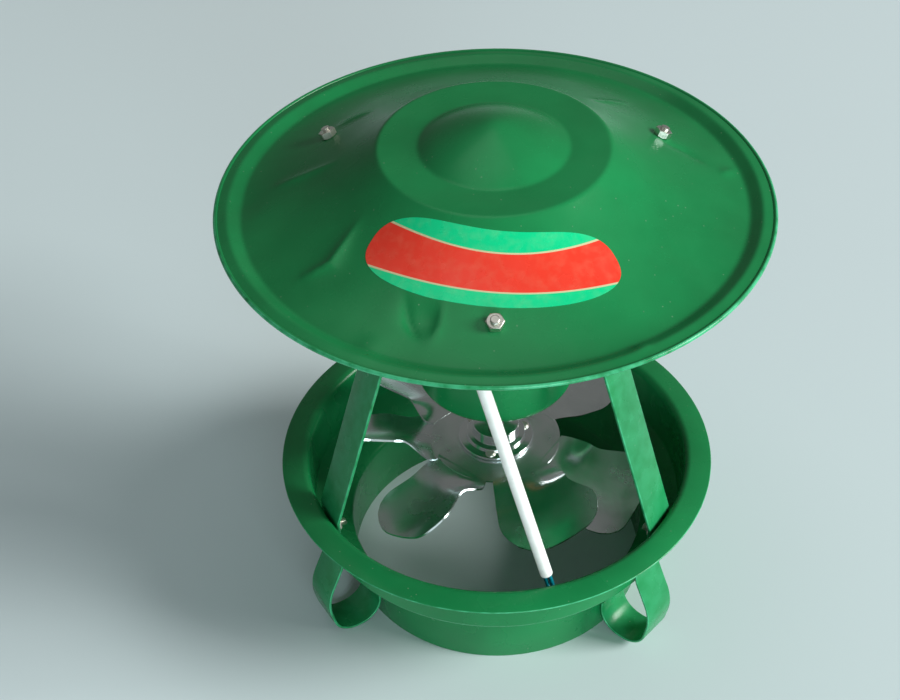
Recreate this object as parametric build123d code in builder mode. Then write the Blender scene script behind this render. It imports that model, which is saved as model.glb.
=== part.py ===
from build123d import *
from math import cos, hypot, radians, sin, sqrt
import os

# Chimney exhaust fan: a collar with spring legs stands in the flue, three struts carry a motor under a
# hood, and a seven-blade wheel on the motor's shaft draws the smoke up and out below the hood.
# Millimetres, +Z up, origin at the middle of the spigot's lower edge, the front towards -Y.

# Collar, sizes of its outer side
SPIGOT_RADIUS = 75.0
SPIGOT_HEIGHT = 31.0
SHOULDER_RADIUS = 93.6
SHOULDER_HEIGHT = 44.5
WALL_RADIUS = 95.0
WALL_HEIGHT = 72.0
FLANGE_RADIUS = 107.3
FLANGE_FALL = 1.6
COLLAR_SHEET = 1.0
COLLAR_BEND = 2.5

# Hood, sizes of its upper side
HOOD_RADIUS = 125.2
HOOD_HEIGHT = 227.0
LIP_WIDTH = 6.5
LIP_RISE = 1.2
GROOVE_WIDTH = 5.5
GROOVE_DEPTH = 2.7
CROWN_RADIUS = 51.3
CROWN_RISE = 28.8
PEAK_RADIUS = 33.3
PEAK_RISE = 13.0
PEAK_BULGE = 1.6
HOOD_SAG = 3.75
HOOD_SHEET = 0.8
HOOD_BEND = 2.0
RIM_BEAD = 1.1

# Straps: struts bolted inside the collar wall, spring legs spot welded outside it
STRUT_ANGLES = {"front_left": 208.0, "front_right": 328.5, "rear": 88.0}
STRUT_WIDTH = 20.0
STRUT_SHEET = 1.5
STRUT_FOOT = 50.5
STRUT_KNEE = 71.0
STRUT_TOP_RADIUS = 43.0
STRUT_TAB = 16.0
STRUT_BEND = 3.0
LEG_ANGLES = {"front_left": 214.5, "front_right": 320.0, "rear": 87.0}
LEG_WIDTH = 22.0
LEG_SHEET = 1.2
LEG_TOP = 55.5
LEG_NECK = 47.5
LEG_BULGE = 10.0
LEG_BULGE_HEIGHT = 26.0
LEG_HEEL_RADIUS = 100.0
LEG_GROUND_GAP = 0.5
LEG_TAIL = 17.0
LEG_BENDS = (6.0, 10.0, 10.0, 5.0)

# Bolts, nuts, screws and rivets
BOLT_RADIUS = 2.0
HEX_RADIUS = 4.04
NUT_HEIGHT = 3.2
HEAD_HEIGHT = 2.8
BOLT_PROUD = 4.0
FOOT_BOLT_HEIGHT = 61.0
FOOT_BOLT_PROUD = 3.4
FRONT_HOOD_BOLT = 92.5
REAR_HOOD_BOLT = 84.0
HOOD_BOLT_PLACES = ((270.0, FRONT_HOOD_BOLT), (154.0, REAR_HOOD_BOLT), (24.5, REAR_HOOD_BOLT))
RIVET_RADIUS = 2.0
RIVET_HEAD_RADIUS = 3.2
RIVET_HEAD = 1.4
SCREW_RADIUS = 2.0
SCREW_HEAD_RADIUS = 3.6
SCREW_HEAD = 2.2
SCREW_DEPTH = 6.0
MOTOR_SCREW_PITCH_RADIUS = 26.0
MOTOR_SCREW_ANGLES = (45.0, 135.0, 225.0, 315.0)
CAN_SCREW_ANGLES = (28.0, 148.0, 268.0)

# Motor bracket: a plate just below the hood's rim, over the motor, with an arm to each hood bolt
PLATE_DROP = 1.0
PLATE_RADIUS = 62.0
PLATE_SHEET = 2.0
PLATE_HOLE = 11.0
ARM_WIDTH = 14.0
ARM_ROOT = 50.0
ARM_PAD = 8.0
ARM_BEND = 4.0

# Motor
CAN_RADIUS = 38.0
CAN_HEIGHT = 104.3
CAN_SHEET = 0.8
CAN_BEND = 7.0
END_PLATE = 8.0
STATOR_BASE = 33.0
STATOR_LENGTH = 36.0
STATOR_YOKE = 7.0
NECK_WIDTH = 14.0
NECK_ROOT = 1.0
SHOE_RADIUS = 22.5
SHOE_SLOT = 6.0
SHOE_SLOT_ANGLE = 45.0
COIL_WIDTH = 5.0
POLE_ANGLES = (0.0, 90.0, 180.0, 270.0)
ROTOR_RADIUS = 18.5
ROTOR_LENGTH = 38.0
CAGE_RADIUS = 16.5
CAGE_RING = 3.0
SHAFT_RADIUS = 4.0
SHAFT_BELOW_HUB = 3.0
SHAFT_SHOULDER_RADIUS = 6.5
SHAFT_SHOULDER = 3.0
BEARING_RADIUS = 8.0
BEARING_FLANGE_RADIUS = 11.0
BEARING_FLANGE = 2.5
LOWER_BEARING_HEIGHT = 14.0
LOWER_BEARING_DROP = 2.0
WASHER_RADIUS = 9.0
WASHER = 0.8

# Fan wheel and its hub
FAN_RADIUS = 79.0
FAN_DROP = 42.5
FAN_SHEET = 1.0
DISC_RADIUS = 23.0
DOME_RADIUS = 9.5
DOME_RISE = 3.0
DOME_BEND = 1.5
BLADES = 7
BLADE_START = 284.0
BLADE_PITCH = 14.0
BLADE_CAMBER = 10.0
ROOT_CAMBER = 0.5
BLADE_DROOP = 5.0
BLADE_CHORD = 66.0
BLADE_OUTLINE = ((20, -9), (27, -11.4), (82, -23.6), (82, 32), (63, 29), (28, 10), (20, 8.5))
BLADE_CORNERS = (0, 10, 13, 13, 13, 12, 0)
TWIST_START = 19.0
TWIST_END = 38.0
HUB_FLANGE_RADIUS = 18.5
HUB_FLANGE = 2.5
HUB_RADIUS = 9.0
HUB_HEIGHT = 10.0
FAN_RIVET_PITCH_RADIUS = 15.0
FAN_RIVET_ANGLES = (20.0, 140.0, 260.0)

# Lead: two wires from a coil, in a sleeve from the can to just short of the wall
SLEEVE_RADIUS = 3.0
SLEEVE_BORE = 2.55
SLEEVE_INSIDE = 4.0
SLEEVE_STOP = 6.0
WIRE_RADIUS = 1.0
WIRE_APART = 2.3
WIRE_BENDS = (3.0, 14.0, 3.0)
LEAD_ANGLE = 262.2
LEAD_BELOW_PLATE = 22.0
LEAD_ROOT_RADIUS = 27.3
LEAD_CORNER_RADIUS = 77.2
LEAD_DROP_RADIUS = 88.7
WALL_HOLE_ANGLE = 286.5
WALL_HOLE_HEIGHT = 64.2
WIRE_TAIL = 101.0
GROMMET_SHEET = 0.9
GROMMET_LIP = 1.0

# Clearances
FIT = 0.02
RUNNING_FIT = 0.05
HOLE_CLEARANCE = 0.25
SEAT_GAP = 0.12
STRAP_GAP = 0.1
AIR_GAP = 0.5
WASHER_GAP = 0.3

plate_height = HOOD_HEIGHT - PLATE_DROP
can_base = plate_height - CAN_HEIGHT
can_bore = CAN_RADIUS - CAN_SHEET
end_plate_base = plate_height - END_PLATE
bearing_seat = can_base + CAN_SHEET
lower_bearing_top = bearing_seat + LOWER_BEARING_HEIGHT
shoulder_base = lower_bearing_top + WASHER_GAP + WASHER
stator_base = can_base + STATOR_BASE
stator_top = stator_base + STATOR_LENGTH
stator_middle = stator_base + STATOR_LENGTH / 2
yoke_bore = can_bore - STATOR_YOKE
stator_bore = ROTOR_RADIUS + AIR_GAP
fan_base = can_base - FAN_DROP
fan_top = fan_base + FAN_SHEET
hub_base = fan_base - HUB_FLANGE - HUB_HEIGHT
lead_height = plate_height - LEAD_BELOW_PLATE
UPWARD = (Align.CENTER, Align.CENTER, Align.MIN)
DOWNWARD = (Align.CENTER, Align.CENTER, Align.MAX)


def radial_plane(angle, height, reach):
    """Plane across a radius, facing out from the axis, with its own y upwards."""
    out = Vector(cos(radians(angle)), sin(radians(angle)), 0)
    return Plane(out * reach + Vector(0, 0, height), x_dir=(-out.Y, out.X, 0), z_dir=out)


def spot(angle, radius, height):
    """Upright place at an angle round the axis, a radius and a height."""
    return Location(radial_plane(angle, height, radius).origin)


def wall_outside(height):
    """Radius of the collar wall's outer side at a height."""
    share = (height - SHOULDER_HEIGHT) / (WALL_HEIGHT - SHOULDER_HEIGHT)
    return SHOULDER_RADIUS + share * (WALL_RADIUS - SHOULDER_RADIUS)


def bent_strap(points, bends, sheet, width, angle, bores=()):
    """Flat strap that follows points in the plane of the axis, its sheet to the left of them.

    Each bore is a plane, a radius and a depth along the plane's normal.
    """
    with BuildPart() as strap:
        with BuildSketch(Plane.XZ.rotated((0, 0, angle))):
            with BuildLine():
                FilletPolyline(points, radius=bends)
                offset(amount=sheet, side=Side.LEFT)
            make_face()
        extrude(amount=width / 2, both=True)
        for plane, radius, depth in bores:
            with BuildSketch(plane):
                Circle(radius)
            extrude(amount=depth, mode=Mode.SUBTRACT)
    return strap


def bush(outer, inner, base, height):
    """Plain round bush on the axis."""
    with BuildPart() as ring:
        with BuildSketch(Plane.XY.offset(base)):
            Circle(outer)
            Circle(inner, mode=Mode.SUBTRACT)
        extrude(amount=height)
    return ring


# Collar: spun from one sheet, bored for the foot bolts and for the lead
foot_planes = [radial_plane(angle, FOOT_BOLT_HEIGHT, 0) for angle in STRUT_ANGLES.values()]
wall_hole_plane = radial_plane(WALL_HOLE_ANGLE, WALL_HOLE_HEIGHT, 0)
grommet_radius = WIRE_APART / 2 + WIRE_RADIUS + FIT + GROMMET_SHEET
with BuildPart() as collar:
    with BuildSketch(Plane.XZ):
        with BuildLine():
            FilletPolyline(
                (SPIGOT_RADIUS, 0),
                (SPIGOT_RADIUS, SPIGOT_HEIGHT),
                (SHOULDER_RADIUS, SHOULDER_HEIGHT),
                (WALL_RADIUS, WALL_HEIGHT),
                (FLANGE_RADIUS, WALL_HEIGHT - FLANGE_FALL),
                radius=COLLAR_BEND,
            )
            offset(amount=COLLAR_SHEET, side=Side.LEFT)
        make_face()
    revolve(axis=Axis.Z)
    with BuildSketch(*foot_planes):
        Circle(BOLT_RADIUS + HOLE_CLEARANCE)
    extrude(amount=FLANGE_RADIUS, mode=Mode.SUBTRACT)
    with BuildSketch(wall_hole_plane):
        Circle(grommet_radius + FIT)
    extrude(amount=FLANGE_RADIUS, mode=Mode.SUBTRACT)

# Hood: one pressed sheet with a peak, a flat crown ring, a bowed skirt, a groove and a beaded lip
lip_radius = HOOD_RADIUS - LIP_WIDTH
lip_height = HOOD_HEIGHT + LIP_RISE
groove_radius = lip_radius - GROOVE_WIDTH
groove_height = lip_height - GROOVE_DEPTH
crown_height = HOOD_HEIGHT + CROWN_RISE
crown_edge = Vector(CROWN_RADIUS, crown_height)
groove_edge = Vector(groove_radius, groove_height)
rim_edge = Vector(HOOD_RADIUS - RIM_BEAD, HOOD_HEIGHT)
skirt_middle = (crown_edge + groove_edge) / 2 - Vector(0, HOOD_SAG)
skirt = ThreePointArc(crown_edge, skirt_middle, groove_edge, mode=Mode.PRIVATE)


def hood_plane(angle, radius):
    """Plane on the hood's upper side at a hood bolt, facing out of the sheet, its own x down the skirt."""
    share = (radius - CROWN_RADIUS) / (groove_radius - CROWN_RADIUS)
    place, along = skirt @ share, skirt % share
    out, up = Vector(cos(radians(angle)), sin(radians(angle)), 0), Vector(0, 0, 1)
    seat = out * place.X + up * place.Y
    return Plane(seat, x_dir=out * along.X + up * along.Y, z_dir=up * along.X - out * along.Y)


hood_planes = [hood_plane(angle, radius) for angle, radius in HOOD_BOLT_PLACES]
with BuildPart() as hood:
    with BuildSketch(Plane.XZ) as hood_section:
        with BuildLine() as hood_top:
            peak_edge = (PEAK_RADIUS, crown_height)
            peak_middle = (PEAK_RADIUS / 2, crown_height + PEAK_RISE / 2 + PEAK_BULGE)
            ThreePointArc((0, crown_height + PEAK_RISE), peak_middle, peak_edge)
            Line(peak_edge, crown_edge)
            ThreePointArc(crown_edge, skirt_middle, groove_edge)
            Polyline(groove_edge, (lip_radius, lip_height), rim_edge)
            add(hood_top.line.moved(Location((0, -HOOD_SHEET, 0))))
            Line((0, crown_height + PEAK_RISE), (0, crown_height + PEAK_RISE - HOOD_SHEET))
            Line(rim_edge, rim_edge - Vector(0, HOOD_SHEET))
        make_face()
        corners = hood_section.vertices()
        fillet(corners.filter_by_position(Axis.X, PEAK_RADIUS - FIT, lip_radius + FIT), HOOD_BEND)
        with Locations(rim_edge - Vector(0, HOOD_SHEET / 2)):
            Circle(RIM_BEAD)
    revolve(axis=Axis.Z)
    with Locations(*hood_planes):
        Cylinder(BOLT_RADIUS + HOLE_CLEARANCE, 4 * HOOD_SHEET, mode=Mode.SUBTRACT)

# Struts: the foot lies against the inside of the wall, the top turns out under the bracket plate
wall_inside = wall_outside(STRUT_FOOT) - COLLAR_SHEET
strut_foot_radius = sqrt(wall_inside**2 - (STRUT_WIDTH / 2) ** 2) - STRAP_GAP
strut_top = plate_height - STRUT_SHEET
strut_path = [
    (strut_foot_radius, STRUT_FOOT),
    (strut_foot_radius, STRUT_KNEE),
    (STRUT_TOP_RADIUS, strut_top),
    (STRUT_TOP_RADIUS + STRUT_TAB, strut_top),
]
strut_rivet_radius = STRUT_TOP_RADIUS + STRUT_TAB / 2
struts = {}
for name, angle in STRUT_ANGLES.items():
    foot_bore = radial_plane(angle, FOOT_BOLT_HEIGHT, strut_foot_radius - 2 * STRUT_SHEET)
    top_bore = Plane(radial_plane(angle, strut_top - STRUT_SHEET, strut_rivet_radius).origin)
    bores = (
        (foot_bore, BOLT_RADIUS + HOLE_CLEARANCE, 3 * STRUT_SHEET),
        (top_bore, RIVET_RADIUS + FIT, 3 * STRUT_SHEET),
    )
    struts["strut_" + name] = bent_strap(strut_path, STRUT_BEND, STRUT_SHEET, STRUT_WIDTH, angle, bores)

# Spring legs: the top lies on the outside of the wall, the tail turns up against the spigot
leg_top_radius = wall_outside(LEG_TOP) + STRAP_GAP
leg_tail_radius = SPIGOT_RADIUS + STRAP_GAP + LEG_SHEET
leg_path = [
    (leg_top_radius, LEG_TOP),
    (leg_top_radius, LEG_NECK),
    (leg_top_radius + LEG_BULGE, LEG_BULGE_HEIGHT),
    (LEG_HEEL_RADIUS - LEG_SHEET, LEG_GROUND_GAP + LEG_SHEET),
    (leg_tail_radius, LEG_GROUND_GAP + LEG_SHEET),
    (leg_tail_radius, LEG_TAIL),
]
legs = {}
for name, angle in LEG_ANGLES.items():
    legs["leg_" + name] = bent_strap(leg_path, LEG_BENDS, LEG_SHEET, LEG_WIDTH, angle)

# Foot bolts: head outside on the wall, nut inside on the strut
foot_head = wall_outside(FOOT_BOLT_HEIGHT + HEX_RADIUS) + SEAT_GAP
foot_seat = strut_foot_radius - STRUT_SHEET
foot_tip = foot_seat - NUT_HEIGHT - FOOT_BOLT_PROUD
with BuildPart() as foot_bolts:
    with BuildSketch(*[plane.offset(foot_tip) for plane in foot_planes]):
        Circle(BOLT_RADIUS)
    extrude(amount=foot_head - foot_tip)
    with BuildSketch(*[plane.offset(foot_head) for plane in foot_planes]):
        RegularPolygon(HEX_RADIUS, 6)
    extrude(amount=HEAD_HEIGHT)
with BuildPart() as foot_nuts:
    with BuildSketch(*[plane.offset(foot_seat) for plane in foot_planes]):
        RegularPolygon(HEX_RADIUS, 6)
        Circle(BOLT_RADIUS + FIT, mode=Mode.SUBTRACT)
    extrude(amount=-NUT_HEIGHT)

# Motor bracket: a round plate, with arms that rise to lie flat under the hood at its bolts
plate_top = plate_height + PLATE_SHEET
pad_depth = HOOD_SHEET + SEAT_GAP
arms = []
for (angle, radius), seat in zip(HOOD_BOLT_PLACES, hood_planes):
    pad = seat.offset(-pad_depth)
    pad_inner = pad.origin - pad.x_dir * ARM_PAD
    pad_outer = pad.origin + pad.x_dir * ARM_PAD
    arm_path = [
        (hypot(pad_outer.X, pad_outer.Y), pad_outer.Z),
        (hypot(pad_inner.X, pad_inner.Y), pad_inner.Z),
        (PLATE_RADIUS, plate_top),
        (ARM_ROOT, plate_top),
    ]
    arms.append(bent_strap(arm_path, ARM_BEND, PLATE_SHEET, ARM_WIDTH, angle))
with BuildPart() as motor_bracket:
    with BuildSketch(Plane.XY.offset(plate_height)):
        Circle(PLATE_RADIUS)
    extrude(amount=PLATE_SHEET)
    for arm in arms:
        add(arm.part)
    with Locations(*hood_planes):
        Cylinder(BOLT_RADIUS + HOLE_CLEARANCE, 6 * PLATE_SHEET, mode=Mode.SUBTRACT)
    with BuildSketch(Plane.XY.offset(plate_height)):
        Circle(PLATE_HOLE)
        for angle in STRUT_ANGLES.values():
            with PolarLocations(strut_rivet_radius, 1, start_angle=angle):
                Circle(RIVET_RADIUS + FIT)
        for angle in MOTOR_SCREW_ANGLES:
            with PolarLocations(MOTOR_SCREW_PITCH_RADIUS, 1, start_angle=angle):
                Circle(SCREW_RADIUS + HOLE_CLEARANCE)
    extrude(amount=2 * PLATE_SHEET, mode=Mode.SUBTRACT)

# Hood bolts: head under the arm, nut on the hood, the end standing proud of the nut
with BuildPart() as hood_bolts:
    with BuildSketch(*[plane.offset(-pad_depth - PLATE_SHEET) for plane in hood_planes]):
        Circle(BOLT_RADIUS)
    extrude(amount=pad_depth + PLATE_SHEET + SEAT_GAP + NUT_HEIGHT + BOLT_PROUD)
    with BuildSketch(*[plane.offset(-pad_depth - PLATE_SHEET) for plane in hood_planes]):
        RegularPolygon(HEX_RADIUS, 6)
    extrude(amount=-HEAD_HEIGHT)
with BuildPart() as hood_nuts:
    with BuildSketch(*[plane.offset(SEAT_GAP) for plane in hood_planes]):
        RegularPolygon(HEX_RADIUS, 6)
        Circle(BOLT_RADIUS + FIT, mode=Mode.SUBTRACT)
    extrude(amount=NUT_HEIGHT)

# Rivets that hold the strut tops under the plate
with BuildPart() as strut_rivets:
    for angle in STRUT_ANGLES.values():
        with Locations(spot(angle, strut_rivet_radius, strut_top)):
            Cylinder(RIVET_RADIUS, STRUT_SHEET + PLATE_SHEET, align=UPWARD)
            Cylinder(RIVET_HEAD_RADIUS, RIVET_HEAD, align=DOWNWARD)
        with Locations(spot(angle, strut_rivet_radius, plate_top)):
            Cylinder(RIVET_HEAD_RADIUS, RIVET_HEAD, align=UPWARD)

# Motor can: a drawn cup, its mouth against the plate, with holes for the bearing, the screws and the lead
can_grommet_radius = SLEEVE_RADIUS + FIT + GROMMET_SHEET
can_hole_plane = radial_plane(LEAD_ANGLE, lead_height, 0)
can_screw_height = end_plate_base + END_PLATE / 2
with BuildPart() as motor_can:
    with BuildSketch(Plane.XZ):
        with BuildLine():
            FilletPolyline(
                (BEARING_RADIUS + FIT, can_base),
                (CAN_RADIUS, can_base),
                (CAN_RADIUS, plate_height),
                radius=CAN_BEND,
            )
            offset(amount=CAN_SHEET, side=Side.LEFT)
        make_face()
    revolve(axis=Axis.Z)
    with BuildSketch(*[radial_plane(angle, can_screw_height, 0) for angle in CAN_SCREW_ANGLES]):
        Circle(SCREW_RADIUS + HOLE_CLEARANCE)
    extrude(amount=2 * CAN_RADIUS, mode=Mode.SUBTRACT)
    with BuildSketch(can_hole_plane):
        Circle(can_grommet_radius + FIT)
    extrude(amount=2 * CAN_RADIUS, mode=Mode.SUBTRACT)

# Motor end plate: closes the can under the bracket, carries the upper bearing and takes the screws
with BuildPart() as motor_end_plate:
    with BuildSketch(Plane.XY.offset(end_plate_base)):
        Circle(can_bore - FIT)
        Circle(BEARING_RADIUS + FIT, mode=Mode.SUBTRACT)
    extrude(amount=END_PLATE)
    with BuildSketch(Plane.XY.offset(plate_height)):
        for angle in MOTOR_SCREW_ANGLES:
            with PolarLocations(MOTOR_SCREW_PITCH_RADIUS, 1, start_angle=angle):
                Circle(SCREW_RADIUS + FIT)
    extrude(amount=-SCREW_DEPTH, mode=Mode.SUBTRACT)
    with BuildSketch(*[radial_plane(angle, can_screw_height, can_bore) for angle in CAN_SCREW_ANGLES]):
        Circle(SCREW_RADIUS + FIT)
    extrude(amount=-SCREW_DEPTH, mode=Mode.SUBTRACT)

# Screws down through the bracket into the end plate, and in through the can's side
with BuildPart() as motor_screws:
    for angle in MOTOR_SCREW_ANGLES:
        with Locations(spot(angle, MOTOR_SCREW_PITCH_RADIUS, plate_top)):
            Cylinder(SCREW_HEAD_RADIUS, SCREW_HEAD, align=UPWARD)
            Cylinder(SCREW_RADIUS, PLATE_SHEET + SCREW_DEPTH - FIT, align=DOWNWARD)
with BuildPart() as can_screws:
    with BuildSketch(*[radial_plane(angle, can_screw_height, CAN_RADIUS) for angle in CAN_SCREW_ANGLES]):
        Circle(SCREW_HEAD_RADIUS)
    extrude(amount=SCREW_HEAD)
    with BuildSketch(*[radial_plane(angle, can_screw_height, CAN_RADIUS) for angle in CAN_SCREW_ANGLES]):
        Circle(SCREW_RADIUS)
    extrude(amount=-(CAN_SHEET + SCREW_DEPTH - FIT))

# Stator: laminated core with four poles, and a coil round the neck of each
with BuildPart() as stator_core:
    with BuildSketch(Plane.XY.offset(stator_base)):
        Circle(can_bore - FIT)
        Circle(yoke_bore, mode=Mode.SUBTRACT)
        for angle in POLE_ANGLES:
            with PolarLocations((stator_bore + yoke_bore + NECK_ROOT) / 2, 1, start_angle=angle):
                Rectangle(yoke_bore - stator_bore + NECK_ROOT, NECK_WIDTH)
        Circle(SHOE_RADIUS)
        with PolarLocations(SHOE_RADIUS, len(POLE_ANGLES), start_angle=SHOE_SLOT_ANGLE):
            Rectangle(SHOE_RADIUS, SHOE_SLOT, mode=Mode.SUBTRACT)
        Circle(stator_bore, mode=Mode.SUBTRACT)
    extrude(amount=STATOR_LENGTH)
coil_inner = SHOE_RADIUS + HOLE_CLEARANCE
coil_depth = sqrt(yoke_bore**2 - (NECK_WIDTH / 2 + COIL_WIDTH) ** 2) - HOLE_CLEARANCE - coil_inner
with BuildPart() as stator_coils:
    with BuildSketch(*[radial_plane(angle, stator_middle, coil_inner) for angle in POLE_ANGLES]):
        RectangleRounded(NECK_WIDTH + 2 * COIL_WIDTH, STATOR_LENGTH + 2 * COIL_WIDTH, COIL_WIDTH)
        Rectangle(NECK_WIDTH + 2 * FIT, STATOR_LENGTH + 2 * FIT, mode=Mode.SUBTRACT)
    extrude(amount=coil_depth)

# Bearings: a flanged bush in the can's floor, a plain bush in the end plate
bearing_bore = SHAFT_RADIUS + RUNNING_FIT
with BuildPart() as lower_bearing:
    with BuildSketch(Plane.XY.offset(can_base - LOWER_BEARING_DROP)):
        Circle(BEARING_RADIUS)
    extrude(amount=LOWER_BEARING_DROP + CAN_SHEET + LOWER_BEARING_HEIGHT)
    with BuildSketch(Plane.XY.offset(bearing_seat)):
        Circle(BEARING_FLANGE_RADIUS)
    extrude(amount=BEARING_FLANGE)
    with BuildSketch(Plane.XY.offset(can_base - LOWER_BEARING_DROP)):
        Circle(bearing_bore)
    extrude(amount=2 * LOWER_BEARING_HEIGHT, mode=Mode.SUBTRACT)
upper_bearing = bush(BEARING_RADIUS, bearing_bore, end_plate_base, END_PLATE)

# Shaft, with a shoulder that runs on the washer over the lower bearing
with BuildPart() as shaft:
    with BuildSketch(Plane.XY.offset(hub_base - SHAFT_BELOW_HUB)):
        Circle(SHAFT_RADIUS)
    extrude(amount=plate_height - hub_base + SHAFT_BELOW_HUB)
    with BuildSketch(Plane.XY.offset(shoulder_base)):
        Circle(SHAFT_SHOULDER_RADIUS)
    extrude(amount=SHAFT_SHOULDER)
    chamfer(shaft.edges().filter_by(GeomType.CIRCLE).group_by(Axis.Z)[0], SHAFT_RADIUS / 8)
thrust_washer = bush(WASHER_RADIUS, SHAFT_RADIUS + FIT, lower_bearing_top + WASHER_GAP, WASHER)

# Rotor core: a laminated pack with the cast rings of its cage
rotor_base = stator_middle - ROTOR_LENGTH / 2
with BuildPart() as rotor_core:
    with BuildSketch(Plane.XY.offset(rotor_base)):
        Circle(ROTOR_RADIUS)
    extrude(amount=ROTOR_LENGTH)
    with BuildSketch(Plane.XY.offset(rotor_base - CAGE_RING)):
        Circle(CAGE_RADIUS)
    extrude(amount=ROTOR_LENGTH + 2 * CAGE_RING)
    with BuildSketch(Plane.XY.offset(rotor_base - CAGE_RING)):
        Circle(SHAFT_RADIUS + FIT)
    extrude(amount=ROTOR_LENGTH + 2 * CAGE_RING, mode=Mode.SUBTRACT)


def twist_share(reach):
    """How far the blade has turned from the flat disc to its full pitch at a distance from the axis."""
    share = min(max((reach - TWIST_START) / (TWIST_END - TWIST_START), 0), 1)
    return share * share * (3 - 2 * share)


def blade_plane(reach):
    """Plane across a blade at a distance from the axis, its own x along the blade's width."""
    pitch = radians(BLADE_PITCH * twist_share(reach))
    drop = BLADE_DROOP * (reach - TWIST_START) / (FAN_RADIUS - TWIST_START)
    return Plane((reach, 0, fan_base - drop), x_dir=(0, cos(pitch), sin(pitch)), z_dir=(1, 0, 0))


# One blade: a strip twisted from the flat disc to its pitch, trimmed to its outline. The leading edge is
# straight and low, the trailing edge is high and bulges out, and the tip is rounded.
twist_third = (TWIST_END - TWIST_START) / 3
blade_half = BLADE_CHORD / 2
straight_third = (FAN_RADIUS + FAN_SHEET - TWIST_END) / 3
twist_reaches = [TWIST_START + step * twist_third for step in range(4)]
blade_reaches = twist_reaches + [TWIST_END + step * straight_third for step in (1, 2, 3)]
with BuildPart() as blade:
    for reach in blade_reaches:
        camber = ROOT_CAMBER + (BLADE_CAMBER - ROOT_CAMBER) * twist_share(reach)
        with BuildSketch(blade_plane(reach)):
            with BuildLine():
                under = ThreePointArc((-blade_half, camber), (0, 0), (blade_half, camber))
                over = under.moved(Location((0, FAN_SHEET, 0)))
                add(over)
                Line(under @ 0, over @ 0)
                Line(under @ 1, over @ 1)
            make_face()
    loft()
    with BuildSketch(Plane.XY.offset(fan_base - FAN_RADIUS / 2)):
        with BuildLine():
            FilletPolyline(BLADE_OUTLINE, radius=BLADE_CORNERS, close=True)
        make_face()
        Circle(FAN_RADIUS, mode=Mode.INTERSECT)
    extrude(amount=FAN_RADIUS, mode=Mode.INTERSECT)

# Fan wheel: one stamping, a disc with a domed middle and seven blades
with BuildPart() as fan_wheel:
    with BuildSketch(Plane.XZ):
        with BuildLine():
            FilletPolyline(
                (SHAFT_RADIUS + FIT, fan_base + DOME_RISE),
                (DOME_RADIUS - DOME_RISE / 2, fan_base + DOME_RISE),
                (DOME_RADIUS + DOME_RISE / 2, fan_base),
                (DISC_RADIUS, fan_base),
                radius=DOME_BEND,
            )
            offset(amount=FAN_SHEET, side=Side.LEFT)
        make_face()
    revolve(axis=Axis.Z)
    with PolarLocations(0, BLADES, start_angle=BLADE_START):
        add(blade.part)
    with BuildSketch(Plane.XY.offset(fan_base - FAN_SHEET)):
        Circle(SHAFT_RADIUS + FIT)
        for angle in FAN_RIVET_ANGLES:
            with PolarLocations(FAN_RIVET_PITCH_RADIUS, 1, start_angle=angle):
                Circle(RIVET_RADIUS + FIT)
    extrude(amount=DOME_RISE + 3 * FAN_SHEET, mode=Mode.SUBTRACT)

# Fan hub: turned, its flange riveted under the disc, with a set screw onto the shaft
hub_screw_height = hub_base + HUB_HEIGHT / 2
with BuildPart() as fan_hub:
    with BuildSketch(Plane.XY.offset(fan_base - HUB_FLANGE)):
        Circle(HUB_FLANGE_RADIUS)
    extrude(amount=HUB_FLANGE)
    with BuildSketch(Plane.XY.offset(hub_base)):
        Circle(HUB_RADIUS)
    extrude(amount=HUB_HEIGHT)
    with BuildSketch(Plane.XY.offset(hub_base)):
        Circle(SHAFT_RADIUS + FIT)
        for angle in FAN_RIVET_ANGLES:
            with PolarLocations(FAN_RIVET_PITCH_RADIUS, 1, start_angle=angle):
                Circle(RIVET_RADIUS + FIT)
    extrude(amount=HUB_HEIGHT + HUB_FLANGE, mode=Mode.SUBTRACT)
    with BuildSketch(radial_plane(0, hub_screw_height, 0)):
        Circle(SCREW_RADIUS + FIT)
    extrude(amount=2 * HUB_RADIUS, mode=Mode.SUBTRACT)
with BuildPart() as hub_screw:
    with BuildSketch(radial_plane(0, hub_screw_height, SHAFT_RADIUS + FIT)):
        Circle(SCREW_RADIUS)
    extrude(amount=HUB_RADIUS - SHAFT_RADIUS)
with BuildPart() as fan_rivets:
    for angle in FAN_RIVET_ANGLES:
        with Locations(spot(angle, FAN_RIVET_PITCH_RADIUS, fan_base - HUB_FLANGE)):
            Cylinder(RIVET_RADIUS, HUB_FLANGE + FAN_SHEET, align=UPWARD)
            Cylinder(RIVET_HEAD_RADIUS, RIVET_HEAD, align=DOWNWARD)
        with Locations(spot(angle, FAN_RIVET_PITCH_RADIUS, fan_top)):
            Cylinder(RIVET_HEAD_RADIUS, RIVET_HEAD, align=UPWARD)

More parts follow.
